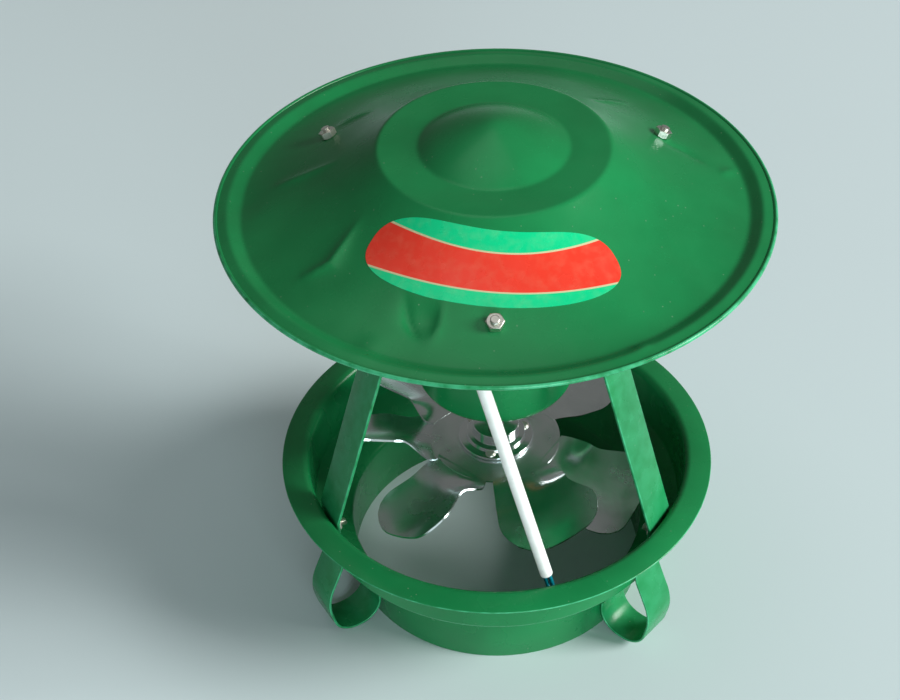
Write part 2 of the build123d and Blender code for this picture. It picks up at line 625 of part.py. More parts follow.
# Lead: up from the front coil, out of the can, down in front of the wheel and out through the wall
lead_root = radial_plane(LEAD_ANGLE, lead_height, LEAD_ROOT_RADIUS).origin
lead_corner = radial_plane(LEAD_ANGLE, lead_height, LEAD_CORNER_RADIUS).origin
lead_drop = radial_plane(WALL_HOLE_ANGLE, WALL_HOLE_HEIGHT, LEAD_DROP_RADIUS).origin
lead_tail = radial_plane(WALL_HOLE_ANGLE, WALL_HOLE_HEIGHT, WIRE_TAIL).origin
lead_down = (lead_drop - lead_corner).normalized()
coil_top = Vector(lead_root.X, lead_root.Y, stator_top + COIL_WIDTH + FIT)
wires = {}
for name, side in (("wire_a", -1), ("wire_b", 1)):
    aside = Vector(side * WIRE_APART / 2, 0, 0)
    stops = (coil_top, lead_root, lead_corner, lead_drop, lead_tail)
    with BuildPart() as wire:
        with BuildLine() as wire_route:
            FilletPolyline(*[stop + aside for stop in stops], radius=WIRE_BENDS)
        with BuildSketch(Plane(wire_route.line @ 0, z_dir=wire_route.line % 0)):
            Circle(WIRE_RADIUS)
        sweep()
    wires[name] = wire
sleeve_start = radial_plane(LEAD_ANGLE, lead_height, can_bore - SLEEVE_INSIDE).origin
sleeve_end = lead_drop - lead_down * SLEEVE_STOP
with BuildPart() as wire_sleeve:
    with BuildLine() as sleeve_route:
        FilletPolyline(sleeve_start, lead_corner, sleeve_end, radius=WIRE_BENDS[1])
    with BuildSketch(Plane(sleeve_route.line @ 0, z_dir=sleeve_route.line % 0)):
        Circle(SLEEVE_RADIUS)
        Circle(SLEEVE_BORE, mode=Mode.SUBTRACT)
    sweep()


def grommet(plane, bore, neck, wall_in, wall_out):
    """Rubber ring in a hole through a round wall: a neck in the hole and a lip on either side."""
    lip = neck + GROMMET_LIP
    inner = sqrt(wall_in**2 - lip**2) - SEAT_GAP - GROMMET_LIP
    outer = wall_out + SEAT_GAP
    with BuildPart() as ring:
        with BuildSketch(plane.offset(inner)):
            Circle(neck)
        extrude(amount=outer - inner)
        with BuildSketch(plane.offset(inner), plane.offset(outer)):
            Circle(lip)
        extrude(amount=GROMMET_LIP)
        with BuildSketch(plane.offset(inner)):
            Circle(bore)
        extrude(amount=outer - inner + GROMMET_LIP, mode=Mode.SUBTRACT)
    return ring


# Grommets: one in the can's hole, one in the wall's
wall_hole_outside = wall_outside(WALL_HOLE_HEIGHT + grommet_radius + GROMMET_LIP)
wall_hole_inside = wall_outside(WALL_HOLE_HEIGHT - grommet_radius - GROMMET_LIP) - COLLAR_SHEET
can_grommet = grommet(can_hole_plane, SLEEVE_RADIUS + FIT, can_grommet_radius, can_bore, CAN_RADIUS)
wall_grommet = grommet(
    wall_hole_plane, grommet_radius - GROMMET_SHEET, grommet_radius, wall_hole_inside, wall_hole_outside
)

pieces = {
    "hood": hood,
    "collar": collar,
    **struts,
    **legs,
    "foot_bolts": foot_bolts,
    "foot_nuts": foot_nuts,
    "motor_bracket": motor_bracket,
    "hood_bolts": hood_bolts,
    "hood_nuts": hood_nuts,
    "strut_rivets": strut_rivets,
    "motor_can": motor_can,
    "motor_end_plate": motor_end_plate,
    "motor_screws": motor_screws,
    "can_screws": can_screws,
    "stator_core": stator_core,
    "stator_coils": stator_coils,
    "lower_bearing": lower_bearing,
    "upper_bearing": upper_bearing,
    "shaft": shaft,
    "thrust_washer": thrust_washer,
    "rotor_core": rotor_core,
    "fan_wheel": fan_wheel,
    "fan_hub": fan_hub,
    "hub_screw": hub_screw,
    "fan_rivets": fan_rivets,
    "wire_sleeve": wire_sleeve,
    **wires,
    "can_grommet": can_grommet,
    "wall_grommet": wall_grommet,
}
os.makedirs("parts", exist_ok=True)
for name, piece in pieces.items():
    piece.part.label = name
    export_step(piece.part, f"parts/{name}.step")
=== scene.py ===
from math import cos, hypot, pi, radians, sin, tan

import bpy
import numpy as np
from mathutils import Matrix, Vector


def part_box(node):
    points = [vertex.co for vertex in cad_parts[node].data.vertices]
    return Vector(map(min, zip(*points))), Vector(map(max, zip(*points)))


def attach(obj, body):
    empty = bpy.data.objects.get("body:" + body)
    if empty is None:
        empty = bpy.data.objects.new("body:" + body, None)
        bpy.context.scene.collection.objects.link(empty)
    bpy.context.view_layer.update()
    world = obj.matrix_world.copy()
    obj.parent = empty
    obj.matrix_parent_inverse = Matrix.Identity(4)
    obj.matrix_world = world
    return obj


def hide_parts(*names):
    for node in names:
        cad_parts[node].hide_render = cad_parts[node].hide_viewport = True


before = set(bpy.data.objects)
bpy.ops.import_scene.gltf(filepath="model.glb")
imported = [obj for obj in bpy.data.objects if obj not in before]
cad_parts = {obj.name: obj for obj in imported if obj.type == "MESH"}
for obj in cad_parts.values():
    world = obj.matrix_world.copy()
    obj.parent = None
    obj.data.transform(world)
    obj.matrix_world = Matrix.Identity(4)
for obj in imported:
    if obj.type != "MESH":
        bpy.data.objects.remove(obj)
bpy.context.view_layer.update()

# Collar: the ring that stands in the flue, with a spigot, a shoulder, a wall and a flange turned
# outwards. It is one steel sheet spun over a former and coated with green enamel, painted lighter
# along its cut edges as thin enamel and painted highlight, and along the shoulder bend as a painted
# highlight.
mm = 0.001
collar_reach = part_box("collar")[1]
collar_bend = 2.5 * mm
collar_sheet = 1.0 * mm
spigot_radius, spigot_top = 75.0 * mm, 31.0 * mm
shoulder = (93.6 * mm, 44.5 * mm)
wall_top = (95.0 * mm, 72.0 * mm)
flange_edge = (collar_reach[0] - collar_sheet / 2, 70.4 * mm)
collar_corners = (
    (spigot_radius, collar_sheet / 2),
    (spigot_radius, spigot_top),
    shoulder,
    wall_top,
    flange_edge,
)
# Painted highlight: edge value of the points along the shoulder bend.
shoulder_sheen = 0.85
enamel_green = (0.008, 0.225, 0.066)
enamel_deep = (0.006, 0.175, 0.050)
# Lighter green for the edges: thin enamel there, and also a painted highlight along edges and bends.
enamel_thin_and_sheen = (0.060, 0.440, 0.210)
enamel_dust = (0.200, 0.330, 0.210)
enamel_dust_share, enamel_speck_share = 0.05, 0.55
enamel_rough = (0.22, 0.32)
enamel_specular = 0.30
peel_depth, wave_depth = 0.4 * mm, 2.0 * mm


def bent_line(corners, bends, steps=8):
    """Flat line through the corners, with an arc of the given bend radius at each inner one."""
    corners = [Vector(corner) for corner in corners]
    line = [corners[0]]
    for before, corner, after, bend in zip(corners, corners[1:], corners[2:], bends):
        back = (before - corner).normalized()
        on = (after - corner).normalized()
        half = back.angle(on) / 2
        centre = corner + (back + on).normalized() * bend / sin(half)
        start = corner + back * bend / tan(half) - centre
        end = corner + on * bend / tan(half) - centre
        for step in range(steps + 1):
            line.append(centre + start.lerp(end, step / steps).normalized() * bend)
    line.append(corners[-1])
    return line


def left_sides(line):
    """Unit vector to the left of a flat line at each of its points."""
    sides = []
    for index in range(len(line)):
        along = line[min(index + 1, len(line) - 1)] - line[max(index - 1, 0)]
        sides.append(Vector((-along.y, along.x)).normalized())
    return sides


def sheet_outline(line, sheet):
    """Closed outline of a sheet to the left of a line, its ends rounded, and its edge values."""
    sides = left_sides(line)
    middles = [point + side * sheet / 2 for point, side in zip(line, sides)]
    outline = [point - side * sheet / 2 for point, side in zip(middles, sides)]
    edges = [0.0] * len(outline)
    for middle, side in ((middles[-1], -sides[-1]), (middles[0], sides[0])):
        ahead = Vector((-side.y, side.x))
        for turn in (0.25, 0.5, 0.75):
            outline.append(middle + (side * cos(pi * turn) + ahead * sin(pi * turn)) * sheet / 2)
            edges.append(1.0)
        if middle is middles[-1]:
            outline += [point + side * sheet / 2 for point, side in zip(middles[::-1], sides[::-1])]
            edges += [0.0] * len(middles)
    return outline, edges


def shown_mesh(name, points, faces, material, edges=None, crease=50):
    """Smooth-shaded object, sharp past the crease angle, with each point's edge value for thin enamel
    and painted highlight.
    """
    mesh = bpy.data.meshes.new(name)
    mesh.from_pydata([tuple(point) for point in points], [], faces)
    mesh.polygons.foreach_set("use_smooth", [True] * len(mesh.polygons))
    # Edge value per point: thin enamel and painted highlight in the enamel.
    thin_coat_and_sheen = mesh.attributes.new("edge", "FLOAT", "POINT")
    if edges is not None:
        thin_coat_and_sheen.data.foreach_set("value", edges)
    mesh.materials.append(material)
    mesh.update()
    mesh.set_sharp_from_angle(angle=radians(crease))
    piece = bpy.data.objects.new(name, mesh)
    bpy.context.collection.objects.link(piece)
    return piece


def turned(outline, steps):
    """Points and faces of a closed outline of radius and height turned round the axis."""
    count = len(outline)
    points = []
    for step in range(steps):
        out = (cos(2 * pi * step / steps), sin(2 * pi * step / steps))
        points += [(out[0] * point[0], out[1] * point[0], point[1]) for point in outline]
    faces = []
    for step in range(steps):
        here, there = step * count, (step + 1) % steps * count
        for index in range(count):
            after = (index + 1) % count
            faces.append((here + index, there + index, there + after, here + after))
    return points, faces


def spun(name, outline, material, edges=None, steps=240):
    """Object with a closed outline of radius and height turned round the axis."""
    points, faces = turned(outline, steps)
    return shown_mesh(name, points, faces, material, edges and edges * steps)


def finish(name):
    """New node material, its node tree and its shader."""
    material = bpy.data.materials.new(name)
    material.use_nodes = True
    return material, material.node_tree, material.node_tree.nodes["Principled BSDF"]


def add(tree, kind, sockets=None, **settings):
    """New node with its settings and sockets set; a value that is another socket is linked."""
    node = tree.nodes.new("ShaderNode" + kind)
    for name, value in settings.items():
        setattr(node, name, value)
    for name, value in (sockets or {}).items():
        if isinstance(value, bpy.types.NodeSocket):
            tree.links.new(value, node.inputs[name])
        else:
            node.inputs[name].default_value = value
    return node


def noise(tree, scale, detail=2.0, stretch=(1, 1, 1)):
    """Noise of about 1/scale metres across, stretched along an axis where wanted."""
    place = add(tree, "TexCoord").outputs["Object"]
    place = add(tree, "Mapping", {"Vector": place, "Scale": stretch}).outputs["Vector"]
    return add(tree, "TexNoise", {"Vector": place, "Scale": scale, "Detail": detail}).outputs["Fac"]


def spread(tree, value, low, high, to_low=0.0, to_high=1.0):
    """A value between low and high carried over to another range, held at its ends."""
    sockets = {"Value": value, "From Min": low, "From Max": high}
    sockets.update({"To Min": to_low, "To Max": to_high})
    return add(tree, "MapRange", sockets).outputs["Result"]


def times(tree, value, factor):
    """Product of two values."""
    return add(tree, "Math", {0: value, 1: factor}, operation="MULTIPLY").outputs[0]


def mixed(tree, share, under, over):
    """Colour that goes from one to the other by a share."""
    colours = {}
    for slot, colour in ((6, under), (7, over)):
        colours[slot] = colour if isinstance(colour, bpy.types.NodeSocket) else (*colour, 1.0)
    return add(tree, "Mix", {0: share, **colours}, data_type="RGBA").outputs[2]


def specks(tree, scale, size):
    """Small round specks in about a third of the cells of a loose grid."""
    place = add(tree, "TexCoord").outputs["Object"]
    cells = add(tree, "TexVoronoi", {"Vector": place, "Scale": scale})
    spot = spread(tree, cells.outputs["Distance"], size, size * 0.6)
    chosen = spread(tree, cells.outputs["Color"], 0.62, 0.66)
    return times(tree, spot, chosen)


def enamel(name):
    """Green enamel: mottled, dusty on top, lighter along edges as thin enamel and painted highlight,
    with specks and orange peel.
    """
    material, tree, shader = finish(name)
    mottling = spread(tree, noise(tree, 22, 4), 0.35, 0.68)
    colour = mixed(tree, mottling, enamel_deep, enamel_green)
    facing = add(tree, "SeparateXYZ", {0: add(tree, "NewGeometry").outputs["Normal"]}).outputs["Z"]
    settled = spread(tree, facing, 0.55, 1.0, 0.0, enamel_dust_share)
    colour = mixed(tree, times(tree, settled, noise(tree, 60, 6)), colour, enamel_dust)
    dots = times(tree, specks(tree, 260, 0.10), enamel_speck_share)
    colour = mixed(tree, dots, colour, enamel_dust)
    # Edge value: lighter green along cut edges and bends, partly thin enamel and partly painted
    # highlight.
    edge = spread(tree, add(tree, "Attribute", attribute_name="edge").outputs["Fac"], 0.3, 0.95)
    patches = spread(tree, noise(tree, 140, 5), 0.32, 0.6, 0.1)
    colour = mixed(tree, times(tree, edge, patches), colour, enamel_thin_and_sheen)
    tree.links.new(colour, shader.inputs["Base Color"])
    gloss = spread(tree, noise(tree, 35, 5), 0.3, 0.75, *enamel_rough)
    tree.links.new(gloss, shader.inputs["Roughness"])
    shader.inputs["Specular IOR Level"].default_value = enamel_specular
    peel = add(tree, "Bump", {"Strength": 0.06, "Distance": peel_depth, "Height": noise(tree, 700, 2)})
    waves = add(tree, "Bump", {"Strength": 0.10, "Distance": wave_depth, "Height": noise(tree, 45, 1)})
    tree.links.new(peel.outputs["Normal"], waves.inputs["Normal"])
    tree.links.new(waves.outputs["Normal"], shader.inputs["Normal"])
    return material


green_enamel = enamel("green_enamel")
collar_line = bent_line(collar_corners, [collar_bend] * 3)
collar_outline, collar_edges = sheet_outline(collar_line, collar_sheet)
# Painted highlight along the shoulder bend, through the edge value.
for index, point in enumerate(collar_line):
    if (point - Vector(shoulder)).length < collar_bend / 4:
        collar_edges[index] = shoulder_sheen
collar = spun("collar_ring", collar_outline, green_enamel, collar_edges)
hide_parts("collar")
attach(collar, "frame")

# Spring legs: three flat steel straps, bent out under the flange and in again under the shoulder, so
# that they grip the flue. Each is spot welded to the outside of the wall and enamelled with the collar.
leg_angles = {"leg_front_left": 212.5, "leg_front_right": 320.0, "leg_rear": 87.0}
leg_width = 18.5 * mm
leg_sheet = 1.2 * mm
leg_gap = 0.1 * mm
leg_top, leg_weld_end, leg_tail_top = 55.5 * mm, 47.5 * mm, 17.0 * mm
leg_top_radius = 94.16 * mm + leg_gap
leg_belly = (leg_top_radius + 10.0 * mm, 26.0 * mm)
leg_heel_radius = 100.0 * mm - leg_sheet
leg_tail_radius = spigot_radius + leg_gap + leg_sheet
leg_floor = 0.5 * mm + leg_sheet
leg_corners = (
    (leg_top_radius, leg_top),
    (leg_top_radius, leg_weld_end),
    leg_belly,
    (leg_heel_radius, leg_floor),
    (leg_tail_radius, leg_floor),
    (leg_tail_radius, leg_tail_top),
)
leg_bends = (14.0 * mm, 26.0 * mm, 12.0 * mm, 11.0 * mm)
# Painted highlight on the straps: full edge value on the rounded corners, part of it on the flat faces.
strap_round, strap_flat_sheen = 0.42, 0.45


def strap(name, line, sheet, width, angle, material):
    """Flat strap of rounded section along a line in a plane through the axis, sheet to its left."""
    out = Vector((cos(radians(angle)), sin(radians(angle)), 0))
    across = Vector((-out.y, out.x, 0))
    round_off = strap_round * sheet
    section = []
    for corner_across, corner_deep, start in ((1, 1, 0), (-1, 1, 90), (-1, 0, 180), (1, 0, 270)):
        middle = corner_across * (width / 2 - round_off)
        depth = round_off + corner_deep * (sheet - 2 * round_off)
        for turn in (0, 30, 60, 90):
            way = radians(start + turn)
            # Painted highlight: lighter enamel on the rounded corners, less on the flats.
            thin_coat_and_sheen = 1.0 if turn in (30, 60) else strap_flat_sheen
            section.append((middle + cos(way) * round_off, depth + sin(way) * round_off, thin_coat_and_sheen))
    points, edges = [], []
    for point, side in zip(line, left_sides(line)):
        for sideways, deep, thin_coat_and_sheen in section:
            place = point + side * deep
            points.append(out * place.x + across * sideways + Vector((0, 0, place.y)))
            edges.append(thin_coat_and_sheen)
    count = len(section)
    faces = [tuple(reversed(range(count))), tuple(range(len(points) - count, len(points)))]
    for step in range(len(line) - 1):
        for index in range(count):
            here, after = step * count + index, step * count + (index + 1) % count
            faces.append((here, after, after + count, here + count))
    return shown_mesh(name, points, faces, material, edges)


leg_line = bent_line(leg_corners, leg_bends, 10)
for node, angle in leg_angles.items():
    name = node.replace("leg", "spring_leg")
    leg = strap(name, leg_line, leg_sheet, leg_width, angle, green_enamel)
    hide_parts(node)
    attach(leg, "frame")

# Struts: three flat steel straps that carry the motor and the hood. The foot lies inside the collar
# wall, held by a bolt, and the top turns outwards under the motor's bracket, where it is riveted.
strut_angles = {"strut_front_left": 208.0, "strut_front_right": 328.5, "strut_rear": 88.0}
strut_width = 20.0 * mm
strut_sheet = 1.5 * mm
strut_foot_radius = 92.265 * mm
strut_foot, strut_foot_top, strut_top = 50.5 * mm, 71.0 * mm, 224.5 * mm
strut_top_radius, strut_end_radius = 43.0 * mm, 59.0 * mm
strut_bend = 3.0 * mm
strut_corners = (
    (strut_foot_radius, strut_foot),
    (strut_foot_radius, strut_foot_top),
    (strut_top_radius, strut_top),
    (strut_end_radius, strut_top),
)
strut_line = bent_line(strut_corners, [strut_bend] * 2)
for node, angle in strut_angles.items():
    name = node.replace("strut", "hood_strut")
    strut = strap(name, strut_line, strut_sheet, strut_width, angle, green_enamel)
    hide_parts(node)
    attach(strut, "frame")

# Motor can: a cup drawn from thin sheet, mouth up against the bracket, with a generous round at its
# floor. It is enamelled like the rest, and closes the motor against soot.
can_low, can_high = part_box("motor_can")
can_sheet = 0.8 * mm
can_hole_radius = 8.02 * mm
can_round = 7.0 * mm
can_hole = can_hole_radius + can_sheet / 2
can_mouth = can_high[2] - can_sheet / 2
can_corners = ((can_hole, can_low[2]), (can_high[0], can_low[2]), (can_high[0], can_mouth))
can_line = bent_line(can_corners, [can_round], 14)
can_outline, can_edges = sheet_outline(can_line, can_sheet)
can = spun("motor_cup", can_outline, green_enamel, can_edges, 160)
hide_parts("motor_can")
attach(can, "frame")

# Hood: the rain cap, one sheet pressed with a peak, a flat crown ring, a bowed skirt and a groove
# inside the lip, whose edge is rolled into a bead. Handling has left folds and hollows in the skirt,
# each given by its places in plan, its width and its rise or depth in millimetres.
hood_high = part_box("hood")[1]
hood_sheet = 0.8 * mm
rim_bead = 1.1 * mm
rim_clear = 0.05 * mm
rim_radius = hood_high[0] - rim_bead - rim_clear
rim_height = 227.0 * mm
lip_radius, lip_height = 118.7 * mm, 228.2 * mm
groove_radius, groove_height = 113.2 * mm, 225.5 * mm
crown_radius, crown_height = 51.3 * mm, 255.8 * mm
peak_radius, peak_height = 33.3 * mm, hood_high[2]
peak_bulge = 1.6 * mm
skirt_sag = 3.75 * mm
hood_bend = 1.7 * mm
folds = (
    (((-98.7, 6.3), (-86.6, 6.3), (-70.5, 6.9)), 3.6, 1.5),
    (((-57.8, -38.2), (-69.3, -55.1), (-82.0, -59.0)), 4.6, 2.0),
    (((-36.9, -76.9), (-35.5, -88.1), (-31.2, -97.5)), 3.2, -1.3),
    (((-26.3, -100.1), (-22.3, -91.6), (-21.2, -81.2)), 2.6, 1.0),
    (((75.2, 28.9), (86.7, 27.6), (95.3, 21.0)), 3.6, -1.4),
    (((101.5, 14.0), (109.2, 21.5)), 3.6, 1.2),
    (((45.0, 53.0), (62.0, 66.0)), 3.4, 1.2),
    (((-72.0, 46.0), (-56.0, 52.0)), 3.4, 1.1),
    (((56.0, -99.0), (62.0, -103.0)), 4.4, 1.0),
)
hollows = (
    ((-29.0, -88.0), 11.0, 1.2),
    ((-50.7, -100.0), 9.0, -0.8),
    ((-112.0, -2.0), 12.0, 0.8),
)
fold_end, fold_fall, hollow_fall = 0.06, 1.6, 2
crease_round = 0.3
tip_round = 4.2 * mm


def circle_through(first, second, third):
    """Centre and radius of the circle through three flat points."""
    rows = np.array([second - first, third - first])
    sums = np.array([second @ second - first @ first, third @ third - first @ first]) / 2
    centre = np.linalg.solve(rows, sums)
    return centre, hypot(*(first - centre))


crown_edge = np.array((crown_radius, crown_height))
groove_edge = np.array((groove_radius, groove_height))
skirt_middle = (crown_edge + groove_edge) / 2 - np.array((0, skirt_sag))
skirt_centre, skirt_bow = circle_through(crown_edge, skirt_middle, groove_edge)
peak_middle = np.array((peak_radius / 2, (crown_height + peak_height) / 2 + peak_bulge))
peak_tip, peak_foot = np.array((0, peak_height)), np.array((peak_radius, crown_height))
peak_centre, peak_bow = circle_through(peak_tip, peak_middle, peak_foot)


def pressed_height(radius):
    """Height of the hood's upper side as pressed, with sharp bends, at each radius."""
    blunt = np.sqrt(radius**2 + tip_round**2 * np.maximum(1 - (radius / peak_radius) ** 2, 0))
    peak = peak_centre[1] + np.sqrt(np.maximum(peak_bow**2 - (blunt - peak_centre[0]) ** 2, 0))
    skirt = skirt_centre[1] - np.sqrt(np.maximum(skirt_bow**2 - (radius - skirt_centre[0]) ** 2, 0))
    brim_radii = (groove_radius, lip_radius, rim_radius)
    brim = np.interp(radius, brim_radii, (groove_height, lip_height, rim_height))
    inner = np.where(radius < peak_radius, peak, crown_height)
    return np.where(radius < crown_radius, inner, np.where(radius < groove_radius, skirt, brim))


def hood_height(radius):
    """Height of the hood's upper side with its bends rounded."""
    offsets = np.linspace(-hood_bend, hood_bend, 13)
    weights = 1 + np.cos(pi * offsets / hood_bend)
    near = [pressed_height(np.abs(radius + offset)) for offset in offsets]
    return sum(height * weight for height, weight in zip(near, weights)) / weights.sum()


def nearest(x, y, start, end):
    """Distance from points to a straight stretch, and how far along it they lie, from 0 to 1."""
    along = np.subtract(end, start)
    share = ((x - start[0]) * along[0] + (y - start[1]) * along[1]) / np.dot(along, along)
    held = np.clip(share, 0, 1)
    return np.hypot(x - start[0] - held * along[0], y - start[1] - held * along[1]), held


def handling(x, y):
    """How far the skirt is pushed up or down by its folds and hollows."""
    x, y = x / mm, y / mm
    moved = np.zeros_like(x)
    for stops, width, rise in folds:
        best = np.full_like(x, np.inf)
        fade = np.zeros_like(x)
        for index in range(len(stops) - 1):
            distance, held = nearest(x, y, stops[index], stops[index + 1])
            place = (index + held) / (len(stops) - 1)
            swell = np.sin(pi * (fold_end + (1 - 2 * fold_end) * place))
            fade = np.where(distance < best, swell, fade)
            best = np.minimum(best, distance)
        away = np.sqrt(best**2 + crease_round**2) - crease_round
        moved += rise * fade * np.exp(-away / width * fold_fall)
    for centre, reach, depth in hollows:
        away = np.hypot(x - centre[0], y - centre[1])
        moved -= depth * np.exp(-((away / reach) ** 2) * hollow_fall)
    return moved * mm


def hood_top(x, y):
    """Height of the finished hood's upper side at places in plan."""
    return hood_height(np.hypot(x, y)) + handling(x, y)


hood_rings, hood_steps = 190, 360
under_step = 3
tip_radius = 0.15 * mm
bead_join, bead_sweep, bead_steps = 0.82, 145, 13
# Painted highlight: the rolled bead gets the full edge value, a lighter green line along the rim.
highlit_bead = slice(hood_rings + 3, hood_rings + 8)
ring_radii = np.linspace(tip_radius, rim_radius - bead_join * rim_bead, hood_rings)
turns = np.linspace(0, 2 * pi, hood_steps, endpoint=False)
ring_x = np.outer(np.cos(turns), ring_radii)
ring_y = np.outer(np.sin(turns), ring_radii)
upper = hood_top(ring_x, ring_y)
bead_turns = np.radians(np.linspace(bead_sweep, -bead_sweep, bead_steps))
bead_radii = rim_radius + rim_bead * np.cos(bead_turns)
bead_lift = rim_bead * np.sin(bead_turns) - hood_sheet / 2
outline_x = np.hstack([ring_x, np.outer(np.cos(turns), bead_radii), ring_x[:, ::-under_step]])
outline_y = np.hstack([ring_y, np.outer(np.sin(turns), bead_radii), ring_y[:, ::-under_step]])
bead_z = np.tile(rim_height + bead_lift, (hood_steps, 1))
outline_z = np.hstack([upper, bead_z, upper[:, ::-under_step] - hood_sheet])
hood_edges = np.zeros_like(outline_x)
hood_edges[:, highlit_bead] = 1.0
hood_points = np.stack([outline_x, outline_y, outline_z], axis=-1).reshape(-1, 3)
ring_count = outline_x.shape[1]
hood_faces = []
for step in range(hood_steps):
    here, there = step * ring_count, (step + 1) % hood_steps * ring_count
    for index in range(ring_count - 1):
        hood_faces.append((here + index + 1, there + index + 1, there + index, here + index))
hood_faces.append(tuple(range(0, hood_steps * ring_count, ring_count)))
hood_faces.append(tuple(reversed(range(ring_count - 1, hood_steps * ring_count, ring_count))))
hood = shown_mesh("rain_hood", hood_points, hood_faces, green_enamel, hood_edges.ravel())
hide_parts("hood")
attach(hood, "frame")

# Sticker: a printed vinyl band stuck to the front of the skirt, red between two green stripes with thin
# pale lines, its ends rounded. It lies on the enamel and follows the hollows under it.
sticker_middle = -71.0 * mm
sticker_bow = 6.3
sticker_bow_place = 7.0 * mm
sticker_centre = -0.5 * mm
sticker_half_length = 51.0 * mm
sticker_half_width = 14.6 * mm
sticker_lift = 0.10 * mm
sticker_underside = 0.02 * mm
print_green = (0.000, 0.600, 0.240)
print_red = (0.820, 0.045, 0.022)
print_pale = (0.640, 0.560, 0.330)
print_rough, print_fading = (0.18, 0.34), 0.08
sticker_columns, sticker_rows = 140, 40
end_fullness, end_roundness = 5, 2.6
red_top_middle, red_top_rise = 0.45, 0.20
red_bottom_middle, red_bottom_drop = -0.60, 0.08
endwise = np.sin(np.linspace(-pi / 2, pi / 2, sticker_columns))
widthwise = np.linspace(-1, 1, sticker_rows)
spine_x = sticker_centre + sticker_half_length * endwise
spine_y = sticker_middle + sticker_bow * (spine_x - sticker_bow_place) ** 2
slope = 2 * sticker_bow * (spine_x - sticker_bow_place)
half_width = sticker_half_width * (1 - np.abs(endwise) ** end_fullness) ** (1 / end_roundness)
sticker_x = spine_x[:, None] - np.outer(half_width * slope / np.hypot(slope, 1), widthwise)
sticker_y = spine_y[:, None] + np.outer(half_width / np.hypot(slope, 1), widthwise)
sticker_z = hood_top(sticker_x, sticker_y)
red_top = red_top_middle + red_top_rise * endwise**2
red_bottom = red_bottom_middle - red_bottom_drop * endwise**2
width_share = np.outer(half_width / sticker_half_width, widthwise)
band = (width_share - red_bottom[:, None]) / (red_top - red_bottom)[:, None]


def one_point_ends(grid):
    """Values of the sticker's columns in a row, with a single one at each end, as it is a point."""
    return np.concatenate([grid[0, :1], *grid[1:-1], grid[-1, :1]])


sticker_sides = []
for lift in (sticker_lift, sticker_underside):
    layer = np.stack([sticker_x, sticker_y, sticker_z + lift], axis=-1)
    sticker_sides.append(one_point_ends(layer))
sticker_points = np.concatenate(sticker_sides)
side_count = len(sticker_sides[0])
first_end, last_end = 0, side_count - 1
last_column = last_end - sticker_rows
upper_faces = []
for row in range(sticker_rows - 1):
    upper_faces.append((first_end, 1 + row, 2 + row))
    upper_faces.append((last_column + row, last_end, last_column + row + 1))
    for corner in range(1 + row, last_column, sticker_rows):
        upper_faces.append((corner, corner + sticker_rows, corner + sticker_rows + 1, corner + 1))
lower_faces = [tuple(side_count + corner for corner in reversed(face)) for face in upper_faces]
near_edge = list(range(1, last_end, sticker_rows))
far_edge = list(range(sticker_rows, last_end, sticker_rows))
rim = [first_end, *near_edge, last_end, *reversed(far_edge)]
rim_faces = []
for here, after in zip(rim, rim[1:] + rim[:1]):
    rim_faces.append((here + side_count, after + side_count, after, here))
sticker_faces = upper_faces + lower_faces + rim_faces


def printed_vinyl():
    """Red band, pale lines and green stripes by the band value, slightly faded and scuffed."""
    material, tree, shader = finish("printed_vinyl")
    place = add(tree, "Attribute", attribute_name="band").outputs["Fac"]
    aside = add(tree, "Math", {0: place, 1: 0.5}, operation="SUBTRACT").outputs[0]
    away = add(tree, "Math", {0: aside}, operation="ABSOLUTE").outputs[0]
    colour = mixed(tree, spread(tree, away, 0.470, 0.480), print_red, print_pale)
    colour = mixed(tree, spread(tree, away, 0.510, 0.520), colour, print_green)
    faded = spread(tree, noise(tree, 220, 5), 0.45, 0.8, 0.0, print_fading)
    colour = mixed(tree, faded, colour, print_pale)
    tree.links.new(colour, shader.inputs["Base Color"])
    gloss = spread(tree, noise(tree, 70, 4), 0.3, 0.7, *print_rough)
    tree.links.new(gloss, shader.inputs["Roughness"])
    ripple = add(tree, "Bump", {"Strength": 0.12, "Distance": 1.0 * mm, "Height": noise(tree, 120, 2)})
    tree.links.new(ripple.outputs["Normal"], shader.inputs["Normal"])
    return material


sticker = shown_mesh("hood_sticker", sticker_points, sticker_faces, printed_vinyl())
stripes = sticker.data.attributes.new("band", "FLOAT", "POINT")
stripes.data.foreach_set("value", np.tile(one_point_ends(band), 2))
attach(sticker, "frame")

# Fan wheel: one stamping of bright steel, a flat disc with seven blades, each twisted to its pitch
# and curved across, with its tip rounded. Handling has bent the blades, so each has a stance of its
# own: its angle, its pitch and its droop in millimetres.
wheel_base = 79.2 * mm
wheel_sheet = 1.0 * mm
wheel_bore = 4.02 * mm
disc_radius = 32.0 * mm
disc_sink = 0.05 * mm
blade_tip = 76.5 * mm
blade_root = 28.0 * mm
blade_end_gap = 0.01 * mm
trailing_corners = (
    (24.0, 15.0),
    (32.0, 19.0),
    (48.0, 19.5),
    (62.0, 27.0),
    (76.5, 27.0),
    (76.5, 5.0),
)
trailing_bends = (8.0, 14.0, 12.0, 11.0)
leading_corners = ((24.0, -12.0), (32.0, -14.5), (76.5, -26.0), (76.5, 5.0))
leading_bends = (8.0, 18.0)
twist_start, twist_end = 29.0 * mm, 46.0 * mm
blade_camber, root_camber = 10.0 * mm, 0.5 * mm
blade_half = 33.0 * mm
blade_stances = (
    (292.0, 15.0, 2.5),
    (328.0, 11.0, 18.0),
    (46.0, 17.0, 7.0),
    (88.0, 15.0, 5.0),
    (133.0, 15.0, 5.0),
    (178.0, 25.0, 1.0),
    (230.0, 21.0, 9.0),
)
steel_bright = (0.80, 0.86, 0.86)
steel_dull = (0.56, 0.63, 0.63)
metal_smear_share, metal_speck_share = 0.7, 0.5
metal_mark_depth = 0.3 * mm


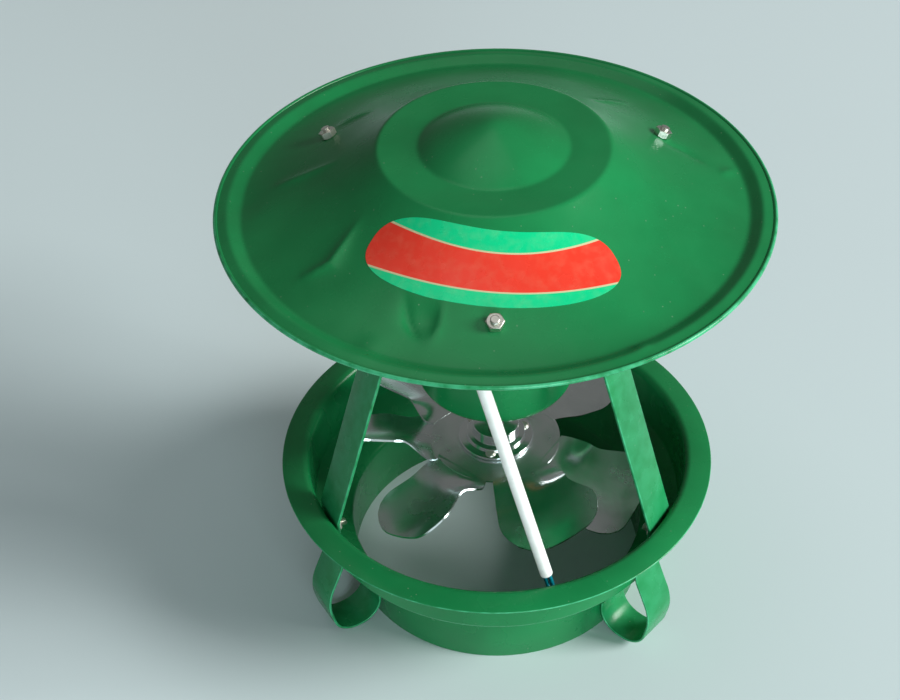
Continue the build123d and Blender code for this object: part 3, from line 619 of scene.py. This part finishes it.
def bare_metal(name, light, dull, rough, spread_rough=0.16, grain=(1, 1, 1)):
    """Bare metal with fine marks along its grain, dull smears and small specks."""
    material, tree, shader = finish(name)
    smears = spread(tree, noise(tree, 45, 6), 0.45, 0.70, 0.0, metal_smear_share)
    colour = mixed(tree, smears, light, dull)
    dots = times(tree, specks(tree, 320, 0.16), metal_speck_share)
    colour = mixed(tree, dots, colour, dull)
    tree.links.new(colour, shader.inputs["Base Color"])
    shader.inputs["Metallic"].default_value = 1.0
    marks = noise(tree, 420, 4, grain)
    gloss = spread(tree, noise(tree, 45, 6), 0.35, 0.7, rough, rough + spread_rough)
    tree.links.new(gloss, shader.inputs["Roughness"])
    bump = add(tree, "Bump", {"Strength": 0.06, "Distance": metal_mark_depth, "Height": marks})
    tree.links.new(bump.outputs["Normal"], shader.inputs["Normal"])
    return material


def edge_line(corners, bends):
    """Reaches and sides of a blade's edge, with its corners rounded."""
    places = [(reach * mm, side * mm) for reach, side in corners]
    return np.array(bent_line(places, [bend * mm for bend in bends])).T


blade_steps, chord_steps, disc_steps = 48, 22, 96
tipwise = np.sin(np.linspace(0, pi / 2, blade_steps))
reaches = blade_root + (blade_tip - blade_end_gap - blade_root) * tipwise
low_side = np.interp(reaches, *edge_line(leading_corners, leading_bends))
high_side = np.interp(reaches, *edge_line(trailing_corners, trailing_bends))
chord = np.linspace(0, 1, chord_steps)
sides = low_side[:, None] + np.outer(high_side - low_side, chord)
twist = np.clip((reaches - twist_start) / (twist_end - twist_start), 0, 1)
twist = (twist * twist * (3 - 2 * twist))[:, None]
arching = (root_camber + (blade_camber - root_camber) * twist) * (sides / blade_half) ** 2
drooping = np.maximum(reaches - twist_start, 0)[:, None] / (blade_tip - twist_start)


def blade_points(angle, pitch, droop):
    """Points of one blade's lower side and then its upper side, at its own angle, pitch and droop."""
    turn = radians(pitch) * twist
    points = []
    for lift in (0, wheel_sheet):
        bow = arching + lift
        across = sides * np.cos(turn) - bow * np.sin(turn)
        height = wheel_base - droop * mm * drooping + sides * np.sin(turn) + bow * np.cos(turn)
        along = np.tile(reaches[:, None], (1, chord_steps))
        x = along * cos(radians(angle)) - across * sin(radians(angle))
        y = along * sin(radians(angle)) + across * cos(radians(angle))
        points += [tuple(point) for point in np.stack([x, y, height], axis=-1).reshape(-1, 3)]
    return points


def sheet_faces(rows, columns, first):
    """Faces of a sheet, closed round its edges, whose lower points come in rows before its upper."""
    count = rows * columns
    faces = []
    for row in range(rows - 1):
        for column in range(columns - 1):
            corner = first + row * columns + column
            lower = (corner, corner + 1, corner + columns + 1, corner + columns)
            faces.append(lower)
            faces.append(tuple(index + count for index in lower[::-1]))
    rim = list(range(columns - 1))
    rim += [row * columns + columns - 1 for row in range(rows - 1)]
    rim += [(rows - 1) * columns + column for column in range(columns - 1, 0, -1)]
    rim += [row * columns for row in range(rows - 1, 0, -1)]
    for here, after in zip(rim, rim[1:] + rim[:1]):
        faces.append((first + after, first + here, first + here + count, first + after + count))
    return faces


disc_top = wheel_base + wheel_sheet - disc_sink
disc_floor = wheel_base + disc_sink
disc_outline = (
    (wheel_bore, disc_floor),
    (disc_radius, disc_floor),
    (disc_radius, disc_top),
    (wheel_bore, disc_top),
)
wheel_points, wheel_faces = turned(disc_outline, disc_steps)
for stance in blade_stances:
    wheel_faces += sheet_faces(blade_steps, chord_steps, len(wheel_points))
    wheel_points += blade_points(*stance)
wheel_steel = bare_metal("wheel_steel", steel_bright, steel_dull, rough=0.17, spread_rough=0.14)
wheel = shown_mesh("bladed_wheel", wheel_points, wheel_faces, wheel_steel)
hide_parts("fan_wheel")
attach(wheel, "rotor")

# Hub: a turned steel bush with a stepped boss on top of the wheel and a flange below it, riveted
# together through the disc. A set screw in its lower end holds it on the shaft.
boss_bore, boss_base, boss_top = 4.1 * mm, 80.3 * mm, 90.0 * mm
boss_foot_radius, boss_foot_top = 18.5 * mm, 82.2 * mm
step_radius, step_top = 14.5 * mm, 84.2 * mm
boss_radius = 11.5 * mm
boss_bend = 0.4 * mm
boss_corners = (
    (boss_bore, boss_base),
    (boss_foot_radius, boss_base),
    (boss_foot_radius, boss_foot_top),
    (step_radius, boss_foot_top),
    (step_radius, step_top),
    (boss_radius, step_top),
    (boss_radius, boss_top),
    (boss_bore, boss_top),
)
lathe_grain = (1, 1, 12)
turned_steel = bare_metal("turned_steel", steel_bright, steel_dull, 0.10, 0.12, lathe_grain)
boss_outline = bent_line(boss_corners, [boss_bend] * 6, 3)
boss = spun("hub_boss", boss_outline, turned_steel, steps=120)
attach(boss, "rotor")


def coat(material, *names):
    """Gives CAD nodes their finish."""
    for name in names:
        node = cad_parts[name]
        node.data.materials.clear()
        node.data.materials.append(material)


coat(turned_steel, "fan_hub", "shaft")

# Rivets, bolts, nuts and screws: cold-headed steel, zinc plated. The hood is held by a nut on a short
# bolt end at each arm of the bracket, and the struts' feet by a bolt through the wall with its nut
# inside. Three rivets hold the wheel between the hub's flange and boss.
zinc_bright, zinc_dull = (0.78, 0.77, 0.70), (0.48, 0.47, 0.41)
zinc_plate = bare_metal("zinc_plate", zinc_bright, zinc_dull, rough=0.28)
bolt_radius = 2.0 * mm
bolt_proud, foot_bolt_proud = 1.6 * mm, 3.4 * mm
arm_depth = -2.92 * mm
nut_clear, nut_seat = 0.05 * mm, 0.1 * mm
thread_root, thread_tip = 0.88, 0.80
hood_bolt_places = ((270.0, 92.5 * mm), (154.0, 84.0 * mm), (24.5, 84.0 * mm))
foot_bolt_height = 61.0 * mm
foot_head_radius = 94.763 * mm
foot_nut_radius = strut_foot_radius - strut_sheet
rivet_angles, rivet_circle = (20.0, 140.0, 260.0), 15.0 * mm
rivet_rings = (
    (2.4 * mm, 75.3 * mm),
    (3.2 * mm, 75.8 * mm),
    (3.2 * mm, 76.7 * mm),
    (2.0 * mm, 76.7 * mm),
    (2.0 * mm, boss_foot_top),
    (2.6 * mm, boss_foot_top),
    (2.5 * mm, 82.8 * mm),
    (1.8 * mm, 83.3 * mm),
)
hex_radius = 4.04 * mm
nut_height = 3.2 * mm
head_height = 2.8 * mm
thread_pitch = 0.7 * mm
round_turns = np.linspace(0, 2 * pi, 72, endpoint=False)
hex_face = hex_radius * cos(pi / 6)
hex_end = 0.96 * hex_face
hex_reach = hex_face / np.cos(round_turns % (pi / 3) - pi / 6)
hex_slope = (hex_reach - hex_end) * tan(pi / 6)


def hex_rings(base, height):
    """Rings of a hexagon with its corners turned off at both ends, from its base up."""
    top = base + height
    sides = [(hex_reach, base + hex_slope), (hex_reach, top - hex_slope)]
    return [(hex_end, base), *sides, (hex_end, top)]


def thread_rings(start, end):
    """Rings of a threaded end that is chamfered at its tip."""
    rings = []
    height = start
    while height < end - thread_pitch:
        rings += [(bolt_radius, height), (thread_root * bolt_radius, height + thread_pitch / 2)]
        height += thread_pitch
    return rings + [(bolt_radius, height), (thread_tip * bolt_radius, end)]


def stacked(name, rings, seats, hollow):
    """Object with rings stacked along each seat's own Z, hollow or closed at both ends."""
    points, faces = [], []
    count = len(round_turns)
    for seat in seats:
        first = len(points)
        for reach, height in rings:
            ring = (reach * np.cos(round_turns), reach * np.sin(round_turns), height)
            places = np.stack(np.broadcast_arrays(*ring), axis=-1)
            points += [seat @ Vector(place) for place in places]
        loop = list(range(len(rings)))
        for lower, upper in zip(loop, loop[1:] + loop[:1] if hollow else loop[1:]):
            for index in range(count):
                after = (index + 1) % count
                low, high = first + lower * count, first + upper * count
                faces.append((low + index, low + after, high + after, high + index))
        if not hollow:
            faces.append(tuple(reversed(range(first, first + count))))
            faces.append(tuple(range(len(points) - count, len(points))))
    return shown_mesh(name, points, faces, zinc_plate, crease=25)


def round_place(angle, radius, height):
    """Place at an angle round the axis, a radius and a height."""
    return Vector((cos(radians(angle)) * radius, sin(radians(angle)) * radius, height))


def seat_frame(place, out):
    """Frame at a place whose Z points out."""
    return Matrix.Translation(place) @ Vector(out).to_track_quat("Z", "Y").to_matrix().to_4x4()


def hood_seat(angle, radius):
    """Frame on the hood's upper side, its Z out of the sheet."""
    place = np.array((cos(radians(angle)), sin(radians(angle)))) * radius
    step = 0.2 * mm
    heights = [float(hood_top(*(place + move))) for move in ((0, 0), (step, 0), (0, step))]
    out = ((heights[0] - heights[1]) / step, (heights[0] - heights[2]) / step, 1)
    return seat_frame((*place, heights[0]), out)


hood_seats = [hood_seat(*place) for place in hood_bolt_places]
bolt_rings = hex_rings(arm_depth - head_height, head_height) + [(bolt_radius, arm_depth)]
bolt_rings += thread_rings(nut_height, nut_height + bolt_proud)
hood_bolts = stacked("hood_bolt_set", bolt_rings, hood_seats, False)
nut_bore = bolt_radius + nut_clear
nut_rings = hex_rings(nut_seat, nut_height)
nut_rings += [(nut_bore, nut_height + nut_seat), (nut_bore, nut_seat)]
hood_nuts = stacked("hood_nut_set", nut_rings, hood_seats, True)
foot_seats, foot_head_seats = [], []
for angle in strut_angles.values():
    inward = -round_place(angle, 1, 0)
    foot_seats.append(seat_frame(round_place(angle, foot_nut_radius, foot_bolt_height), inward))
    foot_head_seats.append(seat_frame(round_place(angle, foot_head_radius, foot_bolt_height), inward))
foot_thread = foot_head_radius - foot_nut_radius + nut_height
foot_rings = hex_rings(-head_height, head_height) + [(bolt_radius, 0)]
foot_rings += thread_rings(foot_thread, foot_thread + foot_bolt_proud)
foot_bolts = stacked("foot_bolt_set", foot_rings, foot_head_seats, False)
foot_nuts = stacked("foot_nut_set", nut_rings, foot_seats, True)
rivet_seats = [Matrix.Translation(round_place(angle, rivet_circle, 0)) for angle in rivet_angles]
hub_rivets = stacked("hub_rivet_set", rivet_rings, rivet_seats, False)
for piece, node, body in (
    (hood_bolts, "hood_bolts", "frame"),
    (hood_nuts, "hood_nuts", "frame"),
    (foot_bolts, "foot_bolts", "frame"),
    (foot_nuts, "foot_nuts", "frame"),
    (hub_rivets, "fan_rivets", "rotor"),
):
    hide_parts(node)
    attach(piece, body)
coat(zinc_plate, "hub_screw", "strut_rivets", "motor_screws", "can_screws")

# Motor bracket: the round plate under the hood, pressed from zinc-coated sheet, whose three arms rise
# to the hood bolts. The struts are riveted under it and the motor hangs from it.
coat_bright, coat_dull = (0.42, 0.43, 0.44), (0.24, 0.25, 0.25)
bracket_zinc = bare_metal("bracket_zinc", coat_bright, coat_dull, rough=0.34)
coat(bracket_zinc, "motor_bracket")

# Motor: a laminated stator with four copper coils round a caged rotor, between two bronze bushes,
# under a cast end plate. It is closed in by the can, so only a view with the can off would show it.
alloy_bright, alloy_dull = (0.50, 0.51, 0.52), (0.32, 0.33, 0.34)
core_bright, core_dull = (0.30, 0.30, 0.31), (0.15, 0.14, 0.13)
copper_bright, copper_dull = (0.55, 0.20, 0.07), (0.34, 0.10, 0.03)
bronze_bright, bronze_dull = (0.60, 0.40, 0.16), (0.36, 0.22, 0.08)
fibre_light, fibre_deep = (0.20, 0.11, 0.05), (0.12, 0.06, 0.03)
soot = (0.10, 0.11, 0.10)
layers, windings = (1, 1, 30), (1, 1, 20)
cast_alloy = bare_metal("cast_alloy", alloy_bright, alloy_dull, rough=0.45)
coat(cast_alloy, "motor_end_plate")
lamination_steel = bare_metal("lamination_steel", core_bright, core_dull, rough=0.40, grain=layers)
coat(lamination_steel, "stator_core", "rotor_core")
coil_copper = bare_metal("coil_copper", copper_bright, copper_dull, rough=0.30, grain=windings)
coat(coil_copper, "stator_coils")
bush_bronze = bare_metal("bush_bronze", bronze_bright, bronze_dull, rough=0.34)
coat(bush_bronze, "lower_bearing", "upper_bearing")


def moulded(name, light, deep, rough, scale, dirt=0.0):
    """Plain moulded or woven stuff with a fine grain, worn patches and, where dirty, dark specks."""
    material, tree, shader = finish(name)
    colour = mixed(tree, spread(tree, noise(tree, 160, 4), 0.35, 0.7), light, deep)
    colour = mixed(tree, times(tree, specks(tree, 300, 0.11), dirt), colour, soot)
    tree.links.new(colour, shader.inputs["Base Color"])
    gloss = spread(tree, noise(tree, 90, 4), 0.3, 0.7, rough, rough + 0.2)
    tree.links.new(gloss, shader.inputs["Roughness"])
    bump = add(tree, "Bump", {"Strength": 0.15, "Distance": 0.2 * mm, "Height": noise(tree, scale, 3)})
    tree.links.new(bump.outputs["Normal"], shader.inputs["Normal"])
    return material


washer_fibre = moulded("washer_fibre", fibre_light, fibre_deep, rough=0.6, scale=900)
coat(washer_fibre, "thrust_washer")

# Lead: two turquoise plastic-covered wires from the motor, in a white woven glass sleeve that leaves
# the can through a rubber grommet. The wires go on bare of it through a second grommet in the wall.
sleeve_radius, sleeve_bore = 3.0 * mm, 2.55 * mm
sleeve_bend, sleeve_stop = 14.0 * mm, 8.5 * mm
sleeve_start_radius, sleeve_corner_radius = 33.2 * mm, 77.2 * mm
lead_angle, lead_height = 262.2, 204.0 * mm
wall_hole_angle, wall_hole_radius, wall_hole_height = 286.5, 88.7 * mm, 64.2 * mm
glass_white, glass_grey = (0.88, 0.88, 0.85), (0.78, 0.78, 0.74)
wire_light, wire_deep = (0.000, 0.300, 0.380), (0.000, 0.200, 0.270)
rubber_light, rubber_deep = (0.025, 0.025, 0.024), (0.012, 0.012, 0.012)
sleeve_dirt = 0.6
sleeve_start = round_place(lead_angle, sleeve_start_radius, lead_height)
sleeve_corner = round_place(lead_angle, sleeve_corner_radius, lead_height)
wall_hole = round_place(wall_hole_angle, wall_hole_radius, wall_hole_height)
sleeve_end = wall_hole + (sleeve_corner - wall_hole).normalized() * sleeve_stop
sleeve_line = bent_line((sleeve_start, sleeve_corner, sleeve_end), [sleeve_bend], 14)
sleeve_side = (sleeve_corner - sleeve_start).cross(sleeve_end - sleeve_corner).normalized()
sleeve_round = 40
sleeve_points = []
down = range(len(sleeve_line))
for radius, order in ((sleeve_radius, down), (sleeve_bore, reversed(down))):
    for index in order:
        before = sleeve_line[max(index - 1, 0)]
        after = sleeve_line[min(index + 1, len(sleeve_line) - 1)]
        sleeve_up = sleeve_side.cross(after - before).normalized()
        for step in range(sleeve_round):
            way = 2 * pi * step / sleeve_round
            out = sleeve_side * cos(way) + sleeve_up * sin(way)
            sleeve_points.append(sleeve_line[index] + out * radius)
sleeve_rings = 2 * len(sleeve_line)
sleeve_faces = []
for ring in range(sleeve_rings):
    here, there = ring * sleeve_round, (ring + 1) % sleeve_rings * sleeve_round
    for step in range(sleeve_round):
        after = (step + 1) % sleeve_round
        sleeve_faces.append((here + step, there + step, there + after, here + after))
sleeve_glass = moulded("sleeve_glass", glass_white, glass_grey, 0.55, 1400, sleeve_dirt)
sleeve = shown_mesh("glass_sleeve", sleeve_points, sleeve_faces, sleeve_glass)
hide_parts("wire_sleeve")
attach(sleeve, "frame")
wire_plastic = moulded("wire_plastic", wire_light, wire_deep, rough=0.28, scale=500)
coat(wire_plastic, "wire_a", "wire_b")
grommet_rubber = moulded("grommet_rubber", rubber_light, rubber_deep, rough=0.6, scale=900)
coat(grommet_rubber, "can_grommet", "wall_grommet")

# Floor, light and camera: a plain pale floor, a large soft key lamp from the right, a low cool lamp in
# front and a weak one above. The camera looks down on the front of the object as in the photograph.
floor_pale = (0.66, 0.77, 0.80)
floor_shade = tuple(0.97 * value for value in floor_pale)
floor_half = 6.0
lamp_target = Vector((0, 0, 0.13))
air_colour, air_strength = (0.95, 0.96, 0.93, 1.0), 0.15


def matt_floor():
    """Pale matt floor with the least mottling."""
    material, tree, shader = finish("matt_floor")
    colour = mixed(tree, noise(tree, 3, 3), floor_pale, floor_shade)
    tree.links.new(colour, shader.inputs["Base Color"])
    shader.inputs["Roughness"].default_value = 0.9
    return material


floor_corners = [
    (-floor_half, -floor_half, 0),
    (floor_half, -floor_half, 0),
    (floor_half, floor_half, 0),
    (-floor_half, floor_half, 0),
]
floor = shown_mesh("studio_floor", floor_corners, [(0, 1, 2, 3)], matt_floor())


def soft_lamp(name, place, size, power, tint):
    """Square soft lamp of a tint that faces the middle of the object."""
    light = bpy.data.lights.new(name, "AREA")
    light.size = size
    light.energy = power
    light.color = tint
    lamp = bpy.data.objects.new(name, light)
    lamp.location = place
    lamp.rotation_euler = (lamp_target - Vector(place)).to_track_quat("-Z", "Y").to_euler()
    bpy.context.collection.objects.link(lamp)


soft_lamp("key_lamp", (5.6, -1.08, 3.07), size=2.7, power=490, tint=(1.0, 1.0, 0.97))
soft_lamp("front_lamp", (0.9, -3.2, 0.80), size=1.4, power=66, tint=(0.82, 0.97, 1.0))
soft_lamp("top_lamp", (-0.3, 0.5, 2.8), size=1.6, power=6, tint=(1.0, 1.0, 1.0))
world = bpy.data.worlds.new("studio_air")
world.use_nodes = True
air = world.node_tree.nodes["Background"]
air.inputs["Color"].default_value = air_colour
air.inputs["Strength"].default_value = air_strength
bpy.context.scene.world = world

camera_lens = 71.13
camera_distance = 0.85185
camera_elevation = radians(41.37)
camera_pan = radians(-1.459)
camera_roll = radians(-0.405)
camera_target = Vector((0, 0, 0.13737))
ahead = Vector((0, cos(camera_elevation), -sin(camera_elevation)))
aside = Vector((1, 0, 0))
above = aside.cross(ahead)
eye = camera_target - ahead * camera_distance
gaze = ahead * cos(camera_pan) + aside * sin(camera_pan)
level = aside * cos(camera_pan) - ahead * sin(camera_pan)
right = level * cos(camera_roll) + above * sin(camera_roll)
over = above * cos(camera_roll) - level * sin(camera_roll)
optics = bpy.data.cameras.new("photo_camera")
optics.lens = camera_lens
optics.sensor_width = 36.0
camera = bpy.data.objects.new("photo_camera", optics)
camera.matrix_world = Matrix.Translation(eye) @ Matrix((right, over, -gaze)).transposed().to_4x4()
bpy.context.collection.objects.link(camera)
bpy.context.scene.camera = camera
bpy.context.scene.view_settings.view_transform = "Standard"
